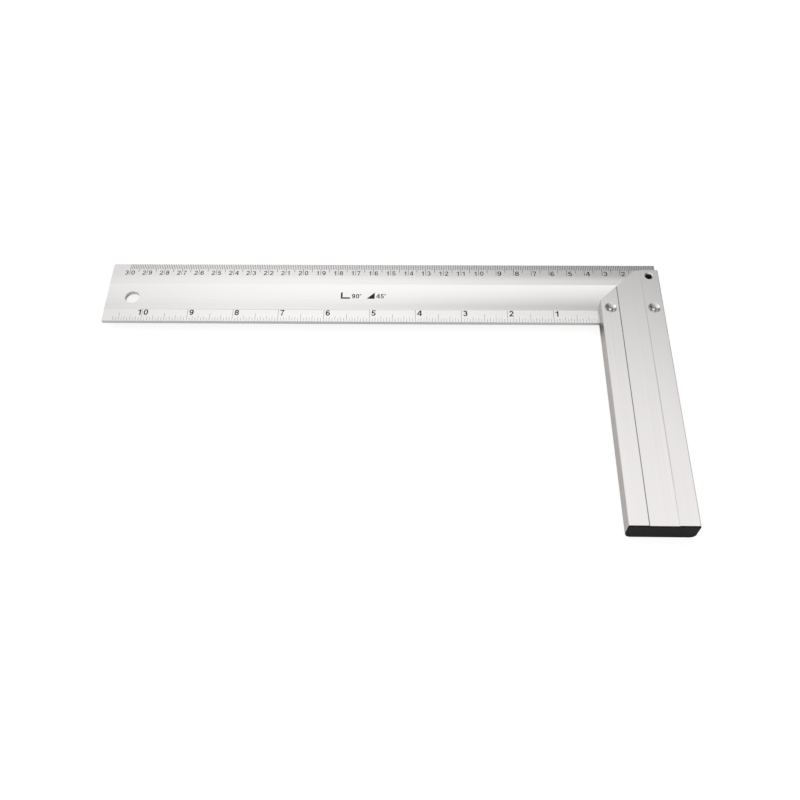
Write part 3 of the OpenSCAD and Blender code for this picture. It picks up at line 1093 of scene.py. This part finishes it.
def area(name, loc, target, size_x, size_y, power, colour=(1, 1, 1)):
    l = bpy.data.lights.new(name, "AREA")
    l.shape = "RECTANGLE"
    l.size, l.size_y = size_x, size_y
    l.energy = power
    l.color = colour
    o = bpy.data.objects.new(name, l)
    bpy.context.scene.collection.objects.link(o)
    o.location = loc
    d = Vector(target) - Vector(loc)
    o.rotation_euler = d.to_track_quat("-Z", "Y").to_euler()
    return o


SKY = {"phi": 1.034, "s0": 0.885, "w1": 0.23, "amp": 0.94, "base": 0.16, "x0": -0.647, "w2": 0.53}


def build_light():
    w = bpy.data.worlds.new("studio")
    bpy.context.scene.world = w
    w.use_nodes = True
    t = w.node_tree
    t.nodes.clear()
    out = t.nodes.new("ShaderNodeOutputWorld")
    bg = t.nodes.new("ShaderNodeBackground")
    tc = t.nodes.new("ShaderNodeTexCoord")
    sep = t.nodes.new("ShaderNodeSeparateXYZ")
    t.links.new(tc.outputs["Generated"], sep.inputs[0])

    def m(op, a, b=None, c=None, clamp=False):
        nd = t.nodes.new("ShaderNodeMath")
        nd.operation = op
        nd.use_clamp = clamp
        for i, v in enumerate((a, b, c)):
            if v is None:
                continue
            if isinstance(v, (int, float)):
                nd.inputs[i].default_value = v
            else:
                t.links.new(v, nd.inputs[i])
        return nd.outputs[0]

    def smooth(v, lo, hi):
        nd = t.nodes.new("ShaderNodeMapRange")
        nd.interpolation_type = "SMOOTHSTEP"
        nd.inputs["From Min"].default_value = lo
        nd.inputs["From Max"].default_value = hi
        t.links.new(v, nd.inputs["Value"])
        return nd.outputs["Result"]

    # one wide overhead diffuser, seen as a plane one unit above the object: x to the right, y to the back.
    # It ends in a soft diagonal edge at the back right and in a softer one at the left.
    z = m("MAXIMUM", sep.outputs[2], 0.05)
    px = m("DIVIDE", sep.outputs[0], z)
    py = m("DIVIDE", sep.outputs[1], z)
    s = m("ADD", m("MULTIPLY", px, math.cos(SKY["phi"])), m("MULTIPLY", py, math.sin(SKY["phi"])))
    e1 = m("SUBTRACT", 1.0, smooth(s, SKY["s0"] - SKY["w1"], SKY["s0"] + SKY["w1"]))
    e2 = smooth(px, SKY["x0"] - SKY["w2"], SKY["x0"] + SKY["w2"])
    e3 = m("ADD", m("MULTIPLY", smooth(py, -0.75, 0.0), 0.75), 0.25)         # fades towards the viewer
    box = m("MULTIPLY", m("MULTIPLY", m("MULTIPLY", e1, e2), e3), SKY["amp"])
    e4 = m("SUBTRACT", 1.0, smooth(px, 0.5, 1.1))                         # ends at the right
    box = m("MULTIPLY", box, e4)
    # a white card at the front left and a dimmer one behind the camera
    c = Vector((-0.74, -0.35, 0.57)).normalized()
    dot = m("ADD", m("MULTIPLY", sep.outputs[0], c.x), m("MULTIPLY", sep.outputs[1], c.y))
    dot = m("ADD", dot, m("MULTIPLY", sep.outputs[2], c.z))
    card = m("MULTIPLY", smooth(dot, 0.60, 0.90), 0.25)
    front = m("MULTIPLY", smooth(m("MULTIPLY", sep.outputs[1], -1.0), 0.5, 0.75), 0.5)
    left = m("MULTIPLY", smooth(m("MULTIPLY", sep.outputs[0], -1.0), 0.45, 0.75), 0.55)
    lum = m("ADD", m("ADD", box, SKY["base"]), m("ADD", m("ADD", card, left), front))
    # the camera sees plain white behind the floor
    path = t.nodes.new("ShaderNodeLightPath")
    seen = path.outputs["Is Camera Ray"]
    lum = m("ADD", m("MULTIPLY", lum, m("SUBTRACT", 1.0, seen)), seen)
    t.links.new(lum, bg.inputs["Strength"])
    bg.inputs["Color"].default_value = (1.0, 1.0, 1.0, 1)
    t.links.new(bg.outputs[0], out.inputs[0])
    area("key_left", (-0.9, 0.25, 0.85), (-0.1, 0, 0), 0.3, 0.3, 0.25)


def build_camera():
    cam = bpy.data.cameras.new("camera")
    o = bpy.data.objects.new("camera", cam)
    bpy.context.scene.collection.objects.link(o)
    cam.sensor_width = 36.0
    cam.lens = 881.584 / 800.0 * 36.0
    cam.clip_start, cam.clip_end = 0.01, 20.0
    # rotation vector of the view, world to camera (x right, y down, z ahead)
    rv = Vector((2.58986, 0.01837, -0.03088))
    r = Quaternion(rv.normalized(), rv.length).to_matrix()
    m = r.transposed() @ Matrix(((1, 0, 0), (0, -1, 0), (0, 0, -1)))
    loc = Vector((-131.21 + SW, -331.25 + BW, 390.57 + EDGE)) * MM
    o.matrix_world = Matrix.Translation(loc) @ m.to_4x4()
    bpy.context.scene.camera = o
    return o


build_floor()
build_light()
build_camera()
bpy.context.scene.view_settings.view_transform = "Standard"
bpy.context.scene.view_settings.look = "None"
